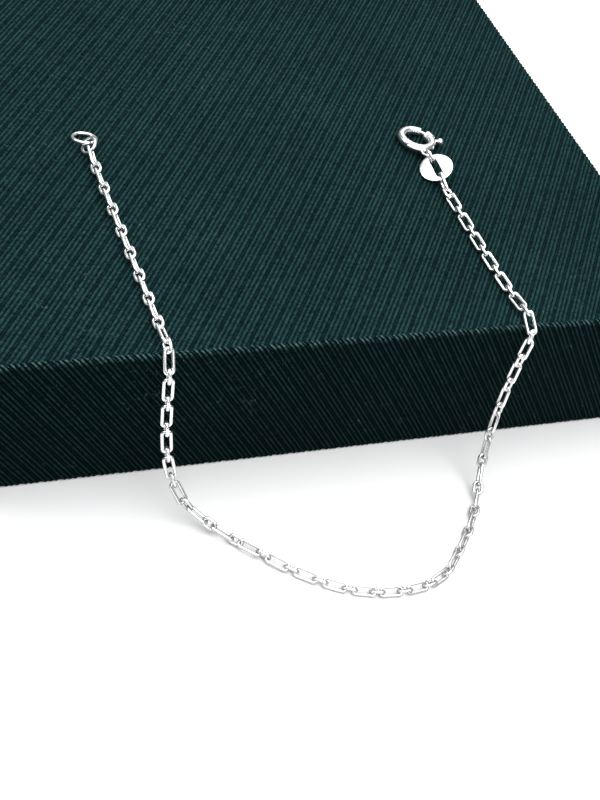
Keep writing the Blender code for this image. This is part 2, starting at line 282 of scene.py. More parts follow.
def rangeNode(tree, value, given, wanted=(0.0, 1.0)):
    node = tree.nodes.new("ShaderNodeMapRange")
    tree.links.new(value, node.inputs["Value"])
    for socket, number in zip(("From Min", "From Max", "To Min", "To Max"), (*given, *wanted)):
        node.inputs[socket].default_value = number
    return node.outputs["Result"]


def splitNode(tree, vector):
    node = tree.nodes.new("ShaderNodeSeparateXYZ")
    tree.links.new(vector, node.inputs[0])
    return node.outputs


def mixColours(tree, factor, first, second):
    node = tree.nodes.new("ShaderNodeMix")
    node.data_type = "RGBA"
    tree.links.new(factor, node.inputs[0])
    for socket, value in ((node.inputs[6], first), (node.inputs[7], second)):  # its two colour sockets
        if isinstance(value, tuple):
            socket.default_value = (*value, 1)
        else:
            tree.links.new(value, socket)
    return node.outputs[2]


def addBump(tree, shader, height, strength, distance):
    bump = tree.nodes.new("ShaderNodeBump")
    bump.inputs["Strength"].default_value = strength
    bump.inputs["Distance"].default_value = distance
    tree.links.new(height, bump.inputs["Height"])
    tree.links.new(bump.outputs["Normal"], shader.inputs["Normal"])


# shader groups that more than one material uses
polish = {
    "scratchRuns": ((24, 14), (-37, 18), (81, 11)),  # degrees of each run and how thin its lines are
    "scratchTilt": 0.6,
    "scratchNoise": (2.0, 0.6, 0.2),  # detail, roughness and distortion
    "scratchRange": (0.63, 0.72),
    "smudgeNoise": (4.0, 0.55, 0.6),
    "smudgeRange": (0.35, 0.70),
    "fineNoise": (2600.0, 2.0, 0.5),  # scale, detail and roughness
    "smudgeRoughness": 0.09,
    "scratchRoughness": 0.16,
    "smudgeTint": -0.06,
    "scratchTint": -0.10,
    "scratchHeight": -0.6,
    "fineHeight": 0.25,
}


def makePolishWear():  # hairline scratches, soft handling marks and a faint tarnish for polished metal
    tree, given, result = newGroup("polishWear", {
        "Vector": None, "Scratch Scale": 900.0, "Scratch Amount": 0.5,
        "Smudge Scale": 350.0, "Base Roughness": 0.1,
    }, ("Tint", "Roughness", "Height"))
    vector = given.outputs["Vector"]
    runs = []
    for angle, stretch in polish["scratchRuns"]:
        mapping = tree.nodes.new("ShaderNodeMapping")
        mapping.inputs["Rotation"].default_value = turned((angle * polish["scratchTilt"], angle, angle))
        mapping.inputs["Scale"].default_value = (1, stretch, 1)
        tree.links.new(vector, mapping.inputs["Vector"])
        grain = noiseNode(tree, mapping.outputs["Vector"], given.outputs["Scratch Scale"],
                          *polish["scratchNoise"])
        runs.append(rangeNode(tree, grain, polish["scratchRange"]))
    scratches = mathNode(tree, "MAXIMUM", mathNode(tree, "MAXIMUM", runs[0], runs[1]), runs[2])
    scratches = mathNode(tree, "MULTIPLY", scratches, given.outputs["Scratch Amount"])
    smudge = noiseNode(tree, vector, given.outputs["Smudge Scale"], *polish["smudgeNoise"])
    smudge = rangeNode(tree, smudge, polish["smudgeRange"])
    fine = noiseNode(tree, vector, *polish["fineNoise"])
    rough = mathNode(tree, "MULTIPLY_ADD", smudge, polish["smudgeRoughness"],
                     given.outputs["Base Roughness"])
    rough = mathNode(tree, "MULTIPLY_ADD", scratches, polish["scratchRoughness"], rough, clamp=True)
    tint = mathNode(tree, "MULTIPLY_ADD", smudge, polish["smudgeTint"], 1.0)
    tint = mathNode(tree, "MULTIPLY_ADD", scratches, polish["scratchTint"], tint, clamp=True)
    height = mathNode(tree, "MULTIPLY", scratches, polish["scratchHeight"])
    height = mathNode(tree, "MULTIPLY_ADD", fine, polish["fineHeight"], height)
    for name, value in (("Tint", tint), ("Roughness", rough), ("Height", height)):
        tree.links.new(value, result.inputs[name])
    return tree


lintFall = {
    "speckNoise": (1.0, 0.4, 1.5),
    "speckRange": (0.70, 0.76),
    "patchNoise": (55.0, 2.0, 0.5),
    "patchRange": (0.42, 0.62),
    "patchShare": (0.2, 1.0),
}


def makeLint():  # fine dust and loose fibre specks that lie on cloth
    tree, given, result = newGroup("lintSpecks", {
        "Vector": None, "Scale": 900.0, "Amount": 0.3,
    }, ("Mask",))
    vector = given.outputs["Vector"]
    specks = noiseNode(tree, vector, given.outputs["Scale"], *lintFall["speckNoise"])
    specks = rangeNode(tree, specks, lintFall["speckRange"])
    patches = noiseNode(tree, vector, *lintFall["patchNoise"])
    patches = rangeNode(tree, patches, lintFall["patchRange"], lintFall["patchShare"])
    mask = mathNode(tree, "MULTIPLY", specks, patches)
    mask = mathNode(tree, "MULTIPLY", mask, given.outputs["Amount"], clamp=True)
    tree.links.new(mask, result.inputs["Mask"])
    return tree


polishWear = makePolishWear()
lintSpecks = makeLint()


# silver
silverFinishes = {
    "chainSilver": {
        "bright": (0.98, 0.98, 0.975), "worn": (0.80, 0.79, 0.77), "roughness": 0.19,
        "scratchScale": 1100.0, "scratchAmount": 0.45, "bump": 0.06,
    },
    "fittingSilver": {
        "bright": (0.98, 0.98, 0.975), "worn": (0.80, 0.79, 0.77), "roughness": 0.17,
        "scratchScale": 900.0, "scratchAmount": 0.55, "bump": 0.07,
    },
    "claspSilver": {
        "bright": (0.97, 0.97, 0.97), "worn": (0.80, 0.79, 0.78), "roughness": 0.19,
        "scratchScale": 800.0, "scratchAmount": 0.60, "bump": 0.08,
    },
    "latchSilver": {
        "bright": (0.96, 0.96, 0.965), "worn": (0.76, 0.76, 0.76), "roughness": 0.20,
        "scratchScale": 700.0, "scratchAmount": 0.80, "bump": 0.10,
    },
}
silverSurface = {
    "smudgeScale": 380.0,
    "bumpDistance": 0.02 * mm,
    "paintedReflectionColour": (0.045, 0.048, 0.050),  # painted dark reflection on the wire's turned-away edges
    "paintedReflectionFacing": (0.16, 0.52),
    "paintedReflectionHeights": (5 * mm, 12 * mm),
    "paintedReflectionShares": (0.78, 0.06),  # how much of the painted dark reflection shows near the table and up on the box
}


def makeSilver(name):
    finish = silverFinishes[name]
    material = bpy.data.materials.new(name)
    material.use_nodes = True
    tree = material.node_tree
    shader = tree.nodes["Principled BSDF"]
    place = tree.nodes.new("ShaderNodeTexCoord").outputs["Object"]
    facing = tree.nodes.new("ShaderNodeLayerWeight").outputs["Facing"]
    wear = placeGroup(tree, polishWear, place, {
        "Scratch Scale": finish["scratchScale"], "Scratch Amount": finish["scratchAmount"],
        "Smudge Scale": silverSurface["smudgeScale"], "Base Roughness": finish["roughness"],
    })
    # painted dark reflection: the wire's grazing edges take a dark colour and are less metallic, more
    # near the table than up on the box
    paintedReflection = rangeNode(tree, facing, silverSurface["paintedReflectionFacing"])
    height = splitNode(tree, place)["Z"]
    paintedReflectionShare = rangeNode(tree, height, silverSurface["paintedReflectionHeights"], silverSurface["paintedReflectionShares"])
    paintedReflection = mathNode(tree, "MULTIPLY", paintedReflection, paintedReflectionShare)
    colour = mixColours(tree, wear.outputs["Tint"], finish["worn"], finish["bright"])
    colour = mixColours(tree, paintedReflection, colour, silverSurface["paintedReflectionColour"])
    tree.links.new(colour, shader.inputs["Base Color"])
    tree.links.new(wear.outputs["Roughness"], shader.inputs["Roughness"])
    tree.links.new(mathNode(tree, "SUBTRACT", 1.0, paintedReflection), shader.inputs["Metallic"])
    addBump(tree, shader, wear.outputs["Height"], finish["bump"], silverSurface["bumpDistance"])
    return material


silver = {name: makeSilver(name) for name in silverFinishes}
print("silver finishes are mixed")


# the box that the chain lies over
box = {
    "length": 104 * mm,
    "depth": 74 * mm,
    "height": 21.9 * mm,
    "front": -25.0 * mm,
}

# the chain's way over the box: metres across from its middle, metres back from its front, share of
# its height, and the turn of the long links in degrees
chainRoute = [
    (-0.02740, 0.03455, 1.000, -47), (-0.02760, 0.0220, 1.000, -47), (-0.02778, 0.0080, 1.000, -47),
    (-0.02785, 0.00290, 1.000, -40), (-0.02800, 0.00045, 1.007, -18), (-0.02810, -0.00115, 0.960, 5),
    (-0.02790, -0.00175, 0.870, 8), (-0.02750, -0.00250, 0.720, 8), (-0.02690, -0.00355, 0.520, 8),
    (-0.02595, -0.00495, 0.315, 6), (-0.02440, -0.00676, 0.147, 0), (-0.02330, -0.00780, 0.093, -20),
    (-0.02196, -0.00894, 0.058, -42), (-0.01918, -0.01137, 0.012, -42), (-0.01778, -0.01263, 0.000, -15),
    (-0.01636, -0.01392, 0.000, 12), (-0.01357, -0.01655, 0.000, 35), (-0.01045, -0.01905, 0.000, 45),
    (-0.00640, -0.02150, 0.000, 45), (-0.00175, -0.02295, 0.000, 45), (0.00340, -0.02325, 0.000, 45),
    (0.00767, -0.02225, 0.000, 45), (0.01203, -0.01870, 0.000, 51), (0.01605, -0.01450, 0.000, 56),
    (0.01835, -0.01120, 0.014, 64), (0.01970, -0.00840, 0.058, 76), (0.02035, -0.00675, 0.145, 79),
    (0.02100, -0.00475, 0.335, 90), (0.02175, -0.00295, 0.570, 101), (0.02240, -0.00175, 0.810, 104),
    (0.02266, -0.00120, 0.950, 126), (0.02268, 0.00025, 1.018, 142), (0.02255, 0.00430, 1.000, 146),
    (0.02220, 0.01200, 1.000, 142), (0.02220, 0.02100, 1.000, 142), (0.02210, 0.02560, 1.000, 90),
    (0.02220, 0.02850, 1.000, 62), (0.02300, 0.03500, 1.000, 62),
]
chain = {
    "wire": 0.43 * mm,
    "width": 1.50 * mm,
    "longLength": 3.38 * mm,
    "shortLength": 2.18 * mm,
    "longCorner": 0.405 * mm,  # of the wire's middle line
    "longSpacing": 2.52 * mm,
    "shortSpacing": 1.32 * mm,
    "longLinks": 43,
    "middleSlack": 0.24 * mm,  # between the chain's two halves
    "lift": 0.03 * mm,  # clear of what it lies on
    "lyingRadius": 0.2658 * mm,
    "firstHeight": 23.024 * mm,
    "lastHeight": 23.136 * mm,
    "lastTurn": 78,
    "sway": 2.2,  # degrees that a link may lean from its neighbours' run
    "swayStep": 2.4,  # radians of its wave from link to link
    "swayStart": 0.7,
    "wireSides": 12,
    "longCornerSteps": 5,
    "shortCornerSteps": 7,
}


def lyingHeight(turn):
    lean = max(abs(math.sin(math.radians(turn))), abs(math.cos(math.radians(turn))))
    return chain["lift"] + chain["lyingRadius"] + (chain["width"] - chain["wire"]) / 2 * lean


def splinePoint(points, knots, knot):  # a smooth curve through the points, blended in three rounds
    for spans in ([(0, 1), (1, 2), (2, 3)], [(0, 2), (1, 3)], [(1, 2)]):
        blended = []
        for index, (start, end) in enumerate(spans):
            share = (knot - knots[start]) / (knots[end] - knots[start])
            blended.append(points[index] * (1 - share) + points[index + 1] * share)
        points = blended
    return points[0]


def traceRoute(stepsBetween=24):
    places, turns = [], []
    for across, back, share, turn in chainRoute:
        height = share * box["height"] + lyingHeight(turn)
        places.append(Vector((across, box["front"] + back, height)))
        turns.append(turn)
    places = [2 * places[0] - places[1], *places, 2 * places[-1] - places[-2]]
    knots = [0.0]
    for first, second in zip(places, places[1:]):
        knots.append(knots[-1] + math.sqrt((second - first).length))
    way = []
    for index in range(1, len(places) - 2):
        extra = 1 if index == len(places) - 3 else 0
        for step in range(stepsBetween + extra):
            share = step / stepsBetween
            knot = knots[index] + (knots[index + 1] - knots[index]) * share
            turn = turns[index - 1] * (1 - share) + turns[index] * share
            nearest = slice(index - 1, index + 3)
            way.append((splinePoint(places[nearest], knots[nearest], knot), turn))
    return way


def nextOnWay(way, step, place, distance, halvings=30):
    while step < len(way) - 2 and (way[step + 1][0] - place).length < distance:
        step += 1
    (start, turnStart), (end, turnEnd) = way[step], way[step + 1]
    low, high = 0.0, 1.0
    for _ in range(halvings):
        middle = (low + high) / 2
        if ((start + (end - start) * middle) - place).length < distance:
            low = middle
        else:
            high = middle
    return step, start + (end - start) * low, turnStart + (turnEnd - turnStart) * low


def facingNormal(along, turn):
    steep = abs(along.z)
    outward = Vector((0, -steep, 1 - steep * steep))
    outward = (outward - along * outward.dot(along)).normalized()
    angle = math.radians(turn)
    return outward * math.cos(angle) + along.cross(outward) * math.sin(angle)


def liftEnd(near, far, height):
    length = (far - near).length
    flat = Vector((far.x - near.x, far.y - near.y, 0)).normalized()
    rise = height - near.z
    return near + flat * math.sqrt(length * length - rise * rise) + Vector((0, 0, rise))


def linkFrames():  # the place of each link, as a matrix whose X runs along it and whose Z faces out
    way = traceRoute()
    step = 0
    place, turn = way[0]
    spans = []
    count = 2 * chain["longLinks"] - 1
    for index in range(count):
        spacing = chain["longSpacing"] if index % 2 == 0 else chain["shortSpacing"]
        slack = chain["middleSlack"] if index == count // 2 + 1 else 0
        step, after, turnAfter = nextOnWay(way, step, place, spacing - slack)
        start = place - (after - place).normalized() * slack
        spans.append([start, after, (turn + turnAfter) / 2 + (index % 2) * 90])
        place, turn = after, turnAfter
    spans[0][0] = liftEnd(spans[0][1], spans[0][0], chain["firstHeight"])
    spans[-1][1] = liftEnd(spans[-1][0], spans[-1][1], chain["lastHeight"])
    spans[-1][2] = chain["lastTurn"]
    frames = []
    for index, (start, end, turn) in enumerate(spans):
        along = (end - start).normalized()
        phase = math.sin(index * chain["swayStep"] + chain["swayStart"])
        sway = chain["sway"] * phase if 0 < index < count - 1 else 0
        normal = facingNormal(along, turn + sway)
        across = normal.cross(along)
        rows = Matrix((along, across, normal)).transposed()
        frames.append(Matrix.Translation((start + end) / 2) @ rows.to_4x4())
    return frames


# links
def makeLink(name, length, corner, cornerSteps):
    # a quarter of the link: the wire's end circle, drawn along the side, round the corner and
    # to the middle of the end, then mirrored twice
    radius = chain["wire"] / 2
    halfLength, halfWidth = length / 2 - radius, chain["width"] / 2 - radius
    deselectAll()
    bpy.ops.mesh.primitive_circle_add(vertices=chain["wireSides"], radius=radius,
                                      location=(0, halfWidth, 0), rotation=(0, math.pi / 2, 0))
    link = nameActive(name)
    applyPlace(link)
    startEdit(link, everything=True)
    side = halfLength - corner
    bpy.ops.mesh.extrude_region_move(TRANSFORM_OT_translate={"value": (side, 0, 0)})
    bpy.ops.mesh.spin(steps=cornerSteps, angle=math.pi / 2, dupli=False,
                      center=(side, halfWidth - corner, 0), axis=(0, 0, 1))
    if halfWidth - corner > tiny:
        bpy.ops.mesh.extrude_region_move(TRANSFORM_OT_translate={"value": (0, corner - halfWidth, 0)})
    endEdit()
    mirror = link.modifiers.new("quarters", "MIRROR")
    mirror.use_axis = (True, True, False)
    mirror.merge_threshold = 2 * tiny
    applyModifiers(link)
    cleanSurface(link)
    return link


def layChain():
    longLink = makeLink("longLink", chain["longLength"], chain["longCorner"], chain["longCornerSteps"])
    shortCorner = (chain["width"] - chain["wire"]) / 2
    shortLink = makeLink("shortLink", chain["shortLength"], shortCorner, chain["shortCornerSteps"])
    frames = linkFrames()
    middle = len(frames) // 2
    halves = [("chainLinksLeft", 0, middle + 1, "chain_left"),
              ("chainLinksRight", middle + 1, len(frames), "chain_right")]
    for name, start, end, replaced in halves:
        laid = []
        for index in range(start, end):
            link = copyPiece(shortLink if index % 2 else longLink)
            link.matrix_world = frames[index]
            laid.append(link)
        finishPiece(joinPieces(laid, name), silver["chainSilver"], "bracelet", replaced)
    for pattern in (longLink, shortLink):
        bpy.data.objects.remove(pattern, do_unlink=True)


layChain()
print("the chain is laid")


# rings at the chain's ends
rings = {  # lengths in millimetres, turns in degrees
    "endJumpRing": {
        "diameter": 2.56, "wire": 0.43, "centre": (-27.39, 10.192, 23.024), "turn": (-54.0, 0.0, 89.07),
        "seam": 0.03, "replaced": "end_jump_ring",
    },
    "endRing": {
        "diameter": 3.55, "wire": 0.50, "centre": (-27.359, 12.09, 22.612), "turn": (0.0, 15.67, 89.07),
        "seam": 0.0, "replaced": "end_ring",
    },
    "claspJumpRing": {
        "diameter": 2.56, "wire": 0.43, "centre": (22.28, 6.955, 23.197), "turn": (56.46, 14.0, 88.38),
        "seam": 0.03, "replaced": "clasp_jump_ring",
    },
}
ringSteps = {"wireSides": 16, "seamed": 56, "closed": 64}


def makeRing(name):
    size = rings[name]
    radius = (size["diameter"] - size["wire"]) / 2 * mm
    deselectAll()
    bpy.ops.mesh.primitive_circle_add(vertices=ringSteps["wireSides"], radius=size["wire"] / 2 * mm,
                                      location=(0, radius, 0), rotation=(0, math.pi / 2, 0))
    ring = nameActive(name)
    applyPlace(ring)
    startEdit(ring, everything=True)
    if size["seam"]:
        gapAngle = size["seam"] * mm / radius
        bpy.ops.mesh.edge_face_add()
        bpy.ops.mesh.spin(steps=ringSteps["seamed"], angle=2 * math.pi - gapAngle, dupli=False,
                          center=(0, 0, 0), axis=(0, 0, 1))
    else:
        bpy.ops.mesh.spin(steps=ringSteps["closed"], angle=2 * math.pi, dupli=False,
                          center=(0, 0, 0), axis=(0, 0, 1))
    endEdit()
    cleanSurface(ring)
    setPiece(ring, size["centre"], size["turn"])
    finishPiece(ring, silver["fittingSilver"], "bracelet", size["replaced"])


for ringName in rings:
    makeRing(ringName)
print("the small rings are bent")


# bare tag with its long slot
tag = {
    "diameter": 4.7 * mm,
    "thickness": 0.30 * mm,
    "slotLength": 3.4 * mm,
    "slotWidth": 1.0 * mm,
    "edgeRound": 0.07 * mm,
    "edgeAngle": 50,
    "smoothAngle": 35,
    "sides": 72,
    "centre": (22.213, 4.6, 23.243),
    "turn": (-29.89, -4.0, 88.38),
}


def makeTag():
    slotRadius = tag["slotWidth"] / 2
    shift = tag["slotLength"] / 2 - slotRadius
    margin = slotRadius * 0.01
    deselectAll()
    bpy.ops.mesh.primitive_circle_add(vertices=tag["sides"], radius=tag["diameter"] / 2)
    disc = nameActive("tagDisc")
    startEdit(disc)
    bpy.ops.mesh.primitive_circle_add(vertices=tag["sides"], radius=slotRadius)
    for side in (1, -1):  # pulls the hole's two halves apart into a slot
        pickVerts(lambda vertex: vertex.co.length < slotRadius + margin and vertex.co.x * side > margin)
        bpy.ops.transform.translate(value=(side * shift, 0, 0))
    bpy.ops.mesh.select_all(action="SELECT")
    bpy.ops.mesh.bridge_edge_loops()
    bpy.ops.mesh.select_all(action="SELECT")
    bpy.ops.transform.translate(value=(0, 0, -tag["thickness"] / 2))
    bpy.ops.mesh.extrude_region_move(TRANSFORM_OT_translate={"value": (0, 0, tag["thickness"])})
    endEdit()
    cleanSurface(disc)
    roundEdges(disc, tag["edgeRound"], tag["edgeAngle"])
    setPiece(disc, tag["centre"], tag["turn"])
    finishPiece(disc, silver["fittingSilver"], "bracelet", "tag_disc",
                tag["smoothAngle"])


makeTag()
print("the tag is cut")


# spring-ring clasp, angles about its own axis in degrees
clasp = {
    "centre": (22.406, 11.418, 22.694),
    "turn": (-5.08, 0.0, -1.62),
    "radius": 2.27 * mm,
    "tube": 0.585 * mm,
    "collar": 0.73 * mm,
    "bore": 0.37 * mm,
    "mouth": (24, 52),
    "collarArc": (-2.5, 26),
    "slotArc": (-57.5, -0.5),
    "slotHalfHeight": 0.33 * mm,
    "boreArc": (-65, 27),
    "socketArc": (49, 60),
    "strapArc": (-145, -97),
    "strapRadius": 2.74 * mm,
    "strapWire": 0.28 * mm,
    "eyeRadius": 0.64 * mm,
    "eyeWire": 0.21 * mm,
    "eyeCentre": 3.39 * mm,
    "edgeRound": 0.08 * mm,
}
claspSteps = {  # steps along and sides round each part
    "ring": (72, 24),
    "collar": (10, 24),
    "strap": (14, 14),
    "eye": (32, 14),
    "socket": (4, 20),
    "bore": (24, 20),
    "latch": (30, 16),
}
latch = {
    "wire": 0.26 * mm,
    "arc": (-23, 57),
    "knobAngle": -9,
    "stem": 0.25 * mm,
    "knob": 0.52 * mm,
    "knobReach": 3.66 * mm,
    "stemSides": 16,
    "knobDivisions": 3,
}


def makeArc(name, radius, wire, start, end, counts):
    steps, sides = counts
    deselectAll()
    bpy.ops.mesh.primitive_circle_add(vertices=sides, radius=wire, fill_type="NGON",
                                      location=(radius, 0, 0), rotation=(math.pi / 2, 0, 0))
    arc = nameActive(name)
    applyPlace(arc)
    startEdit(arc, everything=True)
    bpy.ops.mesh.spin(steps=steps, angle=-math.radians(end - start), dupli=False,
                      center=(0, 0, 0), axis=(0, 0, 1))
    endEdit()
    arc.rotation_euler = (0, 0, math.radians(start))
    applyPlace(arc)
    cleanSurface(arc)
    return arc


def makeEye():
    steps, sides = claspSteps["eye"]
    deselectAll()
    bpy.ops.mesh.primitive_circle_add(vertices=sides, radius=clasp["eyeWire"],
                                      location=(clasp["eyeRadius"], 0, 0), rotation=(math.pi / 2, 0, 0))
    eye = nameActive("eye")
    applyPlace(eye)
    startEdit(eye, everything=True)
    bpy.ops.mesh.spin(steps=steps, angle=2 * math.pi, dupli=False, center=(0, 0, 0), axis=(0, 0, 1))
    endEdit()
    cleanSurface(eye)
    eye.location = (0, -clasp["eyeCentre"], 0)
    applyPlace(eye)
    return eye


def makeThumbSlot(steps=20):
    start, end = clasp["slotArc"]
    inner, outer = clasp["radius"], clasp["radius"] + 2 * clasp["collar"]
    deselectAll()
    bpy.ops.mesh.primitive_plane_add(size=1, location=((inner + outer) / 2, 0, 0),
                                     rotation=(math.pi / 2, 0, 0))
    slot = nameActive("thumbSlot")
    slot.scale = (outer - inner, 2 * clasp["slotHalfHeight"], 1)
    applyPlace(slot)
    startEdit(slot, everything=True)
    bpy.ops.mesh.spin(steps=steps, angle=-math.radians(end - start), dupli=False,
                      center=(0, 0, 0), axis=(0, 0, 1))
    endEdit()
    slot.rotation_euler = (0, 0, math.radians(start))
    applyPlace(slot)
    cleanSurface(slot)
    return slot


def makeClasp():
    mouthStart, mouthEnd = clasp["mouth"]
    radius = clasp["radius"]
    ring = makeArc("claspRing", radius, clasp["tube"], mouthEnd, 360 + mouthStart, claspSteps["ring"])
    collar = makeArc("collar", radius, clasp["collar"], *clasp["collarArc"], claspSteps["collar"])
    strap = makeArc("strap", clasp["strapRadius"], clasp["strapWire"], *clasp["strapArc"],
                    claspSteps["strap"])
    for part in (collar, strap):
        roundEdges(part, clasp["edgeRound"])
    for part in (collar, strap, makeEye()):
        combine(ring, part, "UNION")
    for name in ("socket", "bore"):
        hollow = makeArc(name, radius, clasp["bore"], *clasp[name + "Arc"], claspSteps[name])
        combine(ring, hollow, "DIFFERENCE")
    combine(ring, makeThumbSlot(), "DIFFERENCE")
    cleanSurface(ring)
    setPiece(ring, clasp["centre"], clasp["turn"])
    finishPiece(ring, silver["claspSilver"], "bracelet", "clasp_ring")


def makeLatch():
    spring = makeArc("claspLatch", clasp["radius"], latch["wire"], *latch["arc"], claspSteps["latch"])
    angle = math.radians(latch["knobAngle"])
    ray = Vector((math.cos(angle), math.sin(angle), 0))
    reach = latch["knobReach"]
    deselectAll()
    bpy.ops.mesh.primitive_cylinder_add(vertices=latch["stemSides"], radius=latch["stem"],
                                        depth=reach - clasp["radius"],
                                        location=ray * (reach + clasp["radius"]) / 2,
                                        rotation=(0, math.pi / 2, angle))
    stem = nameActive("stem")
    applyPlace(stem)
    deselectAll()
    bpy.ops.mesh.primitive_ico_sphere_add(subdivisions=latch["knobDivisions"], radius=latch["knob"],
                                          location=ray * reach)
    knob = nameActive("knob")
    applyPlace(knob)
    for part in (stem, knob):
        combine(spring, part, "UNION")
    cleanSurface(spring)
    setPiece(spring, clasp["centre"], clasp["turn"])
    finishPiece(spring, silver["latchSilver"], "latch", "clasp_latch")


makeClasp()
makeLatch()
print("the clasp and its latch are made")


# the box's corded cloth
cloth = {
    "repeat": 1.908 * mm,
    "ribs": [  # middle, half width and height share of the four cords in each repeat
        (0.262 * mm, 0.25 * mm, 1.0), (0.795 * mm, 0.27 * mm, 1.0),
        (1.352 * mm, 0.27 * mm, 1.0), (1.750 * mm, 0.13 * mm, 0.5),
    ],
    "relief": 0.20 * mm,
    "flankReach": 0.55,  # share of a cord's half width at which its round crest starts
    "flankDrop": 0.28,  # share of its height by which it has fallen there
    "topAngle": 50.8,  # degrees of the cords from the box's front edge
    "sideAngle": 128.3,
    "span": 132 * mm,  # length of the cords before the sheet is trimmed
    "spare": 4 * mm,
    "topEdge": 0.5 * mm,
    "bottomEdge": 0.3 * mm,
    "cornerEdge": 0.5 * mm,
    "topTurns": (0, 30, 60),  # degrees at which the cloth is creased as it rolls over each edge
    "bottomTurns": (0, 45),
    "cornerTurns": (0, 22.5, 45),
    "cornerEnd": 66,
    "thickness": 0.15 * mm,
    "boardGap": 0.06 * mm,  # glue between the cloth and the board
    "boardRound": 0.35 * mm,
    "smoothAngle": 48,
}
clothLook = {
    # painted shade: the dark colour fills the valleys between cords, and is also the dark end of the
    # mottle
    "shadedValleyColour": (0.0004, 0.0034, 0.0038),
    "crestColour": (0.0175, 0.0535, 0.0560),
    "tipHighlightColour": (0.075, 0.135, 0.135),  # painted highlight on the cord tips along the upper edge
    "lintColour": (0.10, 0.14, 0.14),
    "crestShare": 0.90,
    "thinFrom": 0.75,  # share of the repeat past which the thin cord lies
    "thickShade": 1.08,
    # painted shade that darkens the low thin cord
    "thinCordShadeLoss": -0.60,
    "twist": 0.42,  # millimetres between the turns of a cord's yarn
    "twistSlant": 0.7,
    "twistLoose": 1.6,
    "yarnShade": (0.55, 1.15),
    "mottle": {"noise": (2100.0, 3.0, 0.65), "given": (0.32, 0.68), "wanted": (0.22, 1.18)},
    "patches": {"noise": (60.0, 2.0, 0.5), "given": (0.3, 0.7), "wanted": (0.88, 1.10)},
    "slubs": {"noise": (520.0, 2.0, 0.6), "given": (0.34, 0.66), "wanted": (0.86, 1.14)},
    "fibre": {"noise": (4200.0, 2.0, 0.6), "given": (0.3, 0.7), "wanted": (0.74, 0.92)},
    "edgeHighlightDepths": (0.9 * mm, 0.2 * mm),  # below the top, where the painted edge highlight starts and is full
    "tipHighlightDepths": (0.80 * mm, 0.20 * mm),
    "tipHighlightMottle": (0.42, 0.60),
    "lintScale": 1300.0,
    "lintAmount": 0.35,
    "specular": 0.02,
    "yarnHeight": 0.55,
    "fibreHeight": 0.45,
    "mottleHeight": 0.35,
    "bump": 0.9,
    "bumpDistance": 0.05 * mm,
}
clothFaces = {  # painted light: shade makes the sides a darker, shaded copy of the top; the edge gain paints a highlight on the cords along the upper edge
    "cordedClothShadedSides": {
        "shade": 0.52, "edgeHighlightGain": 3.2, "tipHighlightShare": 0.85, "valleyShadeWidth": 0.36, "valleyShadeLift": 0.0,
    },
    "cordedClothLitTop": {
        "shade": 1.05, "edgeHighlightGain": 1.0, "tipHighlightShare": 0.0, "valleyShadeWidth": 0.08, "valleyShadeLift": 0.16,
    },
}


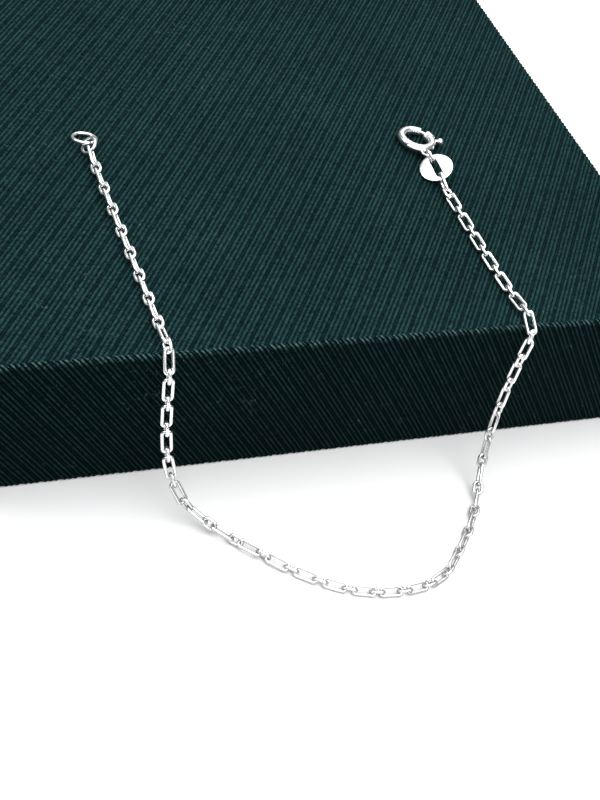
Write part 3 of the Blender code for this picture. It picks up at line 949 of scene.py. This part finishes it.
def makeClothMaterial(name):
    face = clothFaces[name]
    material = bpy.data.materials.new(name)
    material.use_nodes = True
    tree = material.node_tree
    shader = tree.nodes["Principled BSDF"]
    coordinates = tree.nodes.new("ShaderNodeTexCoord")
    place = coordinates.outputs["Object"]
    level = splitNode(tree, place)["Z"]
    weave = splitNode(tree, coordinates.outputs["UV"])  # X across the cords of a repeat, Y along them

    def noise(kind):
        return noiseNode(tree, place, *clothLook[kind]["noise"])

    def spread(value, kind):
        return rangeNode(tree, value, clothLook[kind]["given"], clothLook[kind]["wanted"])

    def multiply(first, second, clamp=False):
        return mathNode(tree, "MULTIPLY", first, second, clamp=clamp)

    def below(depths):
        return [box["height"] - depth for depth in depths]

    cord = multiply(weave["X"], float(len(cloth["ribs"])))
    cord = multiply(mathNode(tree, "PINGPONG", cord, 0.5), 2.0)
    mottle, fibre = noise("mottle"), noise("fibre")
    turns = multiply(weave["Y"], cloth["span"] / mm / clothLook["twist"])
    turns = mathNode(tree, "MULTIPLY_ADD", cord, clothLook["twistSlant"], turns)
    turns = mathNode(tree, "MULTIPLY_ADD", mottle, clothLook["twistLoose"], turns)
    yarn = multiply(mathNode(tree, "PINGPONG", turns, 0.5), 2.0)

    # painted shade, darkest in the valleys between cords
    shade = rangeNode(tree, cord, (face["valleyShadeWidth"], clothLook["crestShare"]),
                      (face["valleyShadeLift"], 1.0))
    # painted shade on the low thin cord
    thinCordShade = mathNode(tree, "GREATER_THAN", weave["X"], clothLook["thinFrom"])
    thinCordShade = mathNode(tree, "MULTIPLY_ADD", thinCordShade, clothLook["thinCordShadeLoss"], clothLook["thickShade"])
    # painted light: the sides are darker than the top, and their cords grow lighter towards the upper
    # edge as a painted highlight
    paintedFaceLight = rangeNode(tree, level, below(clothLook["edgeHighlightDepths"]),
                       (face["shade"], face["shade"] * face["edgeHighlightGain"]))
    shade = multiply(shade, thinCordShade)
    shade = multiply(shade, spread(mottle, "mottle"))
    shade = multiply(shade, rangeNode(tree, yarn, (0.0, 1.0), clothLook["yarnShade"]))
    shade = multiply(shade, spread(noise("patches"), "patches"))
    shade = multiply(shade, spread(noise("slubs"), "slubs"))
    shade = multiply(shade, paintedFaceLight, clamp=True)
    colour = mixColours(tree, shade, clothLook["shadedValleyColour"], clothLook["crestColour"])

    # painted highlight on the cord tips along the upper edge, broken up by the mottle
    tipHighlight = rangeNode(tree, level, below(clothLook["tipHighlightDepths"]), (0.0, face["tipHighlightShare"]))
    tipHighlight = multiply(tipHighlight, rangeNode(tree, mottle, clothLook["tipHighlightMottle"]))
    colour = mixColours(tree, multiply(tipHighlight, shade), colour, clothLook["tipHighlightColour"])
    lint = placeGroup(tree, lintSpecks, place, {
        "Scale": clothLook["lintScale"], "Amount": clothLook["lintAmount"],
    })
    colour = mixColours(tree, lint.outputs["Mask"], colour, clothLook["lintColour"])
    tree.links.new(colour, shader.inputs["Base Color"])
    tree.links.new(spread(fibre, "fibre"), shader.inputs["Roughness"])
    shader.inputs["Specular IOR Level"].default_value = clothLook["specular"]
    height = multiply(yarn, clothLook["yarnHeight"])
    height = mathNode(tree, "MULTIPLY_ADD", fibre, clothLook["fibreHeight"], height)
    height = mathNode(tree, "MULTIPLY_ADD", mottle, clothLook["mottleHeight"], height)
    addBump(tree, shader, height, clothLook["bump"], clothLook["bumpDistance"])
    return material


def ribPlaces():  # across and height of the valley, flank, crest and flank of each cord
    ribs, repeat, relief = cloth["ribs"], cloth["repeat"], cloth["relief"]
    places = []
    before = ribs[-1]
    valley = (before[0] - repeat + before[1] + ribs[0][0] - ribs[0][1]) / 2
    for index, (middle, halfWidth, share) in enumerate(ribs):
        crest = (share - 1) * relief
        flank = crest - share * relief * cloth["flankDrop"]
        places.append((valley, -relief))
        places.append((middle - halfWidth * cloth["flankReach"], flank))
        places.append((middle, crest))
        places.append((middle + halfWidth * cloth["flankReach"], flank))
        after = ribs[(index + 1) % len(ribs)]
        wrap = repeat if index == len(ribs) - 1 else 0
        valley = (middle + halfWidth + after[0] + wrap - after[1]) / 2
    places.append((places[0][0] + repeat, -relief))
    return places


def weaveSheet(name, angle, span):  # a flat ribbed sheet, wider than the panel that is cut from it
    places = ribPlaces()
    columns = len(places) - 1
    deselectAll()
    bpy.ops.mesh.primitive_grid_add(x_subdivisions=columns, y_subdivisions=1, size=1)
    sheet = nameActive(name)
    sheet.scale = (cloth["repeat"], cloth["span"], 1)
    applyPlace(sheet)
    startEdit(sheet)
    for column, (across, height) in enumerate(places):
        pickVerts(lambda vertex: vertex.index % (columns + 1) == column)
        start = (column / columns - 0.5) * cloth["repeat"]
        bpy.ops.transform.translate(value=(across - start, 0, height))
    endEdit()
    repeats = math.ceil(span / cloth["repeat"]) + 1
    rows = sheet.modifiers.new("repeats", "ARRAY")
    rows.count = repeats
    rows.use_relative_offset = False
    rows.use_constant_offset = True
    rows.constant_offset_displace = (cloth["repeat"], 0, 0)
    rows.use_merge_vertices = True
    rows.merge_threshold = tiny
    applyModifiers(sheet)
    sheet.location.x = -repeats * cloth["repeat"] / 2
    applyPlace(sheet)
    sheet.rotation_euler.z = math.radians(angle - 90)
    applyPlace(sheet)
    return sheet


def cutLine(point, normal, trim):
    bpy.ops.mesh.select_all(action="SELECT")
    bpy.ops.mesh.bisect(plane_co=point, plane_no=normal, clear_outer=trim)


def trimSheet(sheet, left, right, bottom, top, uprights=(), levels=()):
    startEdit(sheet, everything=True)
    cutLine((left, 0, 0), (-1, 0, 0), True)
    cutLine((right, 0, 0), (1, 0, 0), True)
    cutLine((0, bottom, 0), (0, -1, 0), True)
    cutLine((0, top, 0), (0, 1, 0), True)
    for x in uprights:
        cutLine((x, 0, 0), (1, 0, 0), False)
    for y in levels:
        cutLine((0, y, 0), (0, 1, 0), False)
    endEdit()


def rollOver(sheet, axis, side, start, radius):  # bends what lies past a line round an edge of the box
    for vertex in sheet.data.vertices:
        past = vertex.co[axis] * side - start
        if past > 0:
            reach = vertex.co.z + radius
            vertex.co[axis] = side * (start + reach * math.sin(past / radius))
            vertex.co.z = reach * math.cos(past / radius) - radius


def makeSidePanel(name, width):
    half = width / 2
    height = box["height"]
    corner, upper, lower = cloth["cornerEdge"], cloth["topEdge"], cloth["bottomEdge"]
    cornerStart, upperStart, lowerStart = half - corner, height / 2 - upper, height / 2 - lower
    uprights = []
    for degrees in cloth["cornerTurns"]:
        crease = cornerStart + corner * math.radians(degrees)
        uprights += [crease, -crease]
    levels = [upperStart + upper * math.radians(degrees) for degrees in cloth["topTurns"]]
    levels += [-lowerStart - lower * math.radians(degrees) for degrees in cloth["bottomTurns"]]
    slope = math.radians(cloth["sideAngle"])
    span = width * math.sin(slope) - height * math.cos(slope)
    panel = weaveSheet(name, cloth["sideAngle"], span + cloth["spare"])
    outerEnd = cornerStart + corner * math.radians(cloth["cornerEnd"])
    trimSheet(panel, -outerEnd, outerEnd, -lowerStart - lower * math.pi / 2,
              upperStart + upper * math.pi / 2, uprights, levels)
    for side in (1, -1):
        rollOver(panel, 0, side, cornerStart, corner)
    rollOver(panel, 1, 1, upperStart, upper)
    rollOver(panel, 1, -1, lowerStart, lower)
    startEdit(panel, everything=True)
    for side in (1, -1):  # a mitre at each upright corner
        cutLine((side * half, 0, 0), (side, 0, -1), True)
    endEdit()
    return panel


def makeFlatPanel(name, inset):
    width, depth = box["length"] - 2 * inset, box["depth"] - 2 * inset
    slope = math.radians(cloth["topAngle"])
    span = width * abs(math.sin(slope)) + depth * abs(math.cos(slope))
    panel = weaveSheet(name, cloth["topAngle"], span + cloth["spare"])
    trimSheet(panel, -width / 2, width / 2, -depth / 2, depth / 2)
    return panel


def makeBoard():  # the rigid board under the cloth
    deselectAll()
    centre = (0, box["front"] + box["depth"] / 2, box["height"] / 2)
    bpy.ops.mesh.primitive_cube_add(size=1, location=centre)
    board = nameActive("board")
    inset = 2 * (cloth["relief"] + cloth["thickness"] + cloth["boardGap"])
    board.scale = (box["length"] - inset, box["depth"] - inset, box["height"] - inset)
    applyPlace(board)
    roundEdges(board, cloth["boardRound"])
    return board


def makeClothBox():
    length, depth = box["length"], box["depth"]
    middle, half = box["front"] + depth / 2, box["height"] / 2
    panels = []
    for name, width, place, heading in (
            ("frontPanel", length, (0, box["front"], half), 0),
            ("rightPanel", depth, (length / 2, middle, half), 90),
            ("backPanel", length, (0, box["front"] + depth, half), 180),
            ("leftPanel", depth, (-length / 2, middle, half), 270)):
        panel = makeSidePanel(name, width)
        panel.rotation_euler = (math.pi / 2, 0, math.radians(heading))
        panel.location = place
        panels.append(panel)
    topPanel = makeFlatPanel("topPanel", cloth["topEdge"])
    topPanel.location = (0, middle, box["height"])
    bottomPanel = makeFlatPanel("bottomPanel", cloth["bottomEdge"])
    bottomPanel.rotation_euler = (math.pi, 0, 0)
    bottomPanel.location = (0, middle, 0)
    for panel in (*panels, topPanel, bottomPanel):
        applyPlace(panel)
        wall = panel.modifiers.new("wall", "SOLIDIFY")
        wall.thickness = cloth["thickness"]
        wall.offset = -1
        applyModifiers(panel)
    sides = joinPieces([*panels, makeBoard()], "clothSides")
    flats = joinPieces([topPanel, bottomPanel], "clothTop")
    # the shaded copy of the cloth material goes on the sides, the lit one on the top and bottom
    for piece, material in ((sides, "cordedClothShadedSides"), (flats, "cordedClothLitTop")):
        finishPiece(piece, makeClothMaterial(material), "bracelet", "display_box",
                    cloth["smoothAngle"])


makeClothBox()
print("the box is covered")
